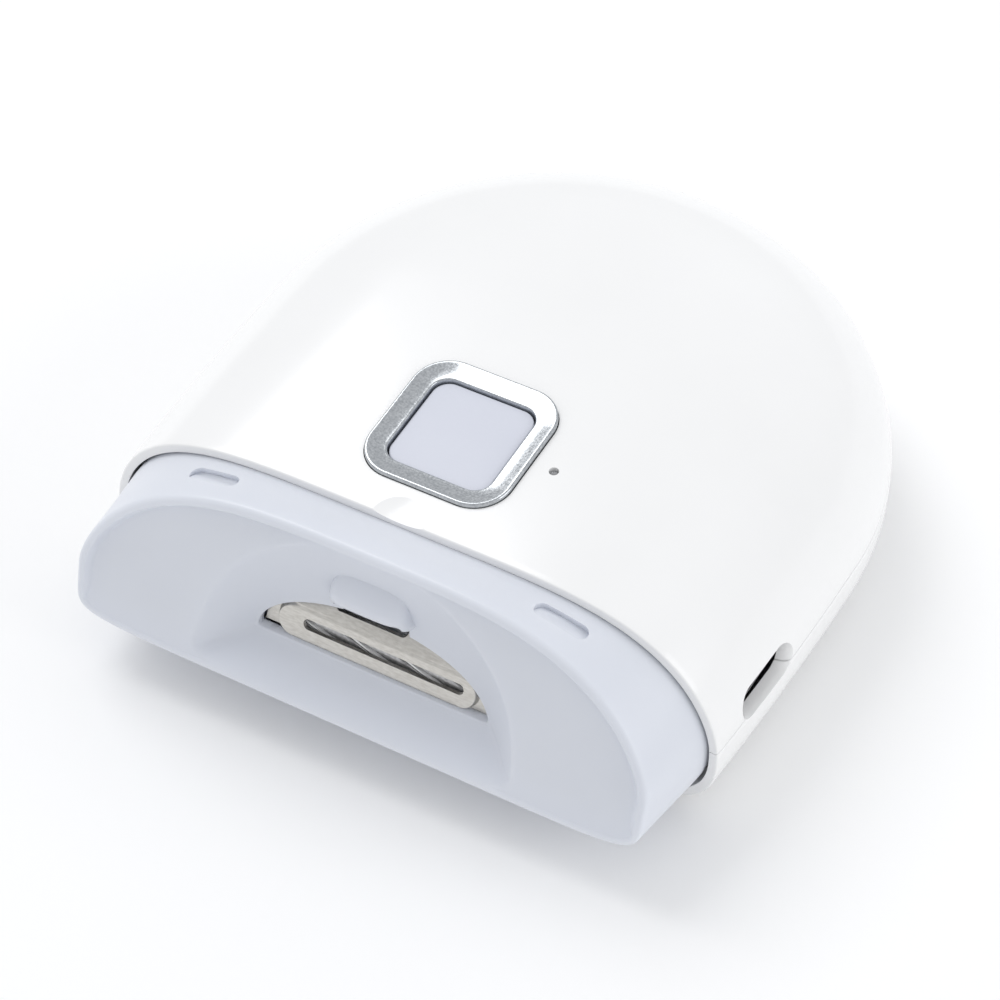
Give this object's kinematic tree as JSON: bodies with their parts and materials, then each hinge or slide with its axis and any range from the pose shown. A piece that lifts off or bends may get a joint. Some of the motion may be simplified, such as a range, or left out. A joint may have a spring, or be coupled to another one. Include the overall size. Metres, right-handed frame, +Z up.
{
  "type": "electric nail trimmer",
  "caption": "Palm-sized electric nail trimmer: rounded white body, top button in a chrome ring, pull-off milky debris cap with a finger dish, steel slot guard and spiral cutter.",
  "frame": {"origin": "centre of the bounding box's bottom face, on the flat base", "axes": "+X right side with the charging socket, -Y front with the cap and finger dish, +Z up through the button"},
  "size_m": [0.078, 0.0836, 0.0291],
  "materials": {
    "shell_plastic": "gloss, moulded",
    "cap_plastic": "milky translucent, satin",
    "ring_chrome": "satin plated",
    "pad_plastic": "matte",
    "guard_steel": "satin, warm tone",
    "cutter_steel": "ground",
    "shaft_steel": "ground",
    "gear_brass": "machined",
    "gear_plastic": "moulded acetal",
    "frame_plastic": "moulded",
    "motor_steel": "drawn",
    "black_plastic": "moulded",
    "socket_steel": "drawn",
    "circuit_board": "solder mask",
    "clear_plastic": "clear",
    "battery_foil": "foil pouch",
    "wire_red": "insulation",
    "wire_black": "insulation",
    "screw_steel": "machined"
  },
  "bodies": {
    "housing": {"upper_shell": "shell_plastic", "lower_shell": "shell_plastic", "button_ring": "ring_chrome", "blade_guard": "guard_steel", "idler_axle": "shaft_steel", "cutter_bush_left": "gear_brass", "cutter_bush_right": "gear_brass", "cutter_frame": "frame_plastic", "motor_can": "motor_steel", "motor_end_cap": "black_plastic", "tact_switch": "black_plastic", "control_chip": "black_plastic", "usb_socket_tongue": "black_plastic", "usb_socket_shell": "socket_steel", "switch_board": "circuit_board", "main_board": "circuit_board", "status_led": "clear_plastic", "status_lens": "clear_plastic", "work_light_lens": "clear_plastic", "work_light_led": "clear_plastic", "battery_cell": "battery_foil", "battery_lead_red": "wire_red", "motor_lead_red": "wire_red", "battery_lead_black": "wire_black", "motor_lead_black": "wire_black", "case_screw_front_left": "screw_steel", "case_screw_front_right": "screw_steel", "case_screw_rear_left": "screw_steel", "case_screw_rear_right": "screw_steel", "board_screw_front": "screw_steel", "board_screw_rear": "screw_steel", "switch_board_screw_left": "screw_steel", "switch_board_screw_right": "screw_steel", "frame_screw_left": "screw_steel", "frame_screw_right": "screw_steel", "motor_screw_lower": "screw_steel", "motor_screw_upper": "screw_steel"},
    "debris_cap": {"debris_cap": "cap_plastic"},
    "button": {"button_pad": "pad_plastic", "switch_plunger": "black_plastic"},
    "cutter": {"cutter_roller": "cutter_steel", "cutter_shaft": "shaft_steel", "cutter_gear": "gear_brass"},
    "idler": {"idler_gear": "gear_plastic"},
    "rotor": {"motor_shaft": "shaft_steel", "motor_pinion": "gear_brass"}
  },
  "joints": [
    {"name": "button_press", "type": "slide", "parent": "housing", "child": "button", "axis": [0, 0, -1], "range_m": [0, 0.0006], "stiffness_N_per_m": 1500, "springref_m": -0.0004},
    {"name": "cap_pull", "type": "slide", "parent": "housing", "child": "debris_cap", "axis": [0, -1, 0], "range_m": [0, 0.03]},
    {"name": "cutter_spin", "type": "hinge", "parent": "housing", "child": "cutter", "pos_m": [0, -0.03199, 0.0107], "axis": [1, 0, 0], "continuous": true},
    {"name": "idler_spin", "type": "hinge", "parent": "housing", "child": "idler", "pos_m": [0.0141, -0.02375, 0.0123], "axis": [1, 0, 0], "continuous": true},
    {"name": "rotor_spin", "type": "hinge", "parent": "housing", "child": "rotor", "pos_m": [0.0141, -0.0155, 0.0123], "axis": [1, 0, 0], "continuous": true}
  ],
  "couplings": [
    {"joint": "idler_spin", "follows": "cutter_spin", "ratio": -0.21739},
    {"joint": "rotor_spin", "follows": "cutter_spin", "ratio": 1.1111}
  ]
}
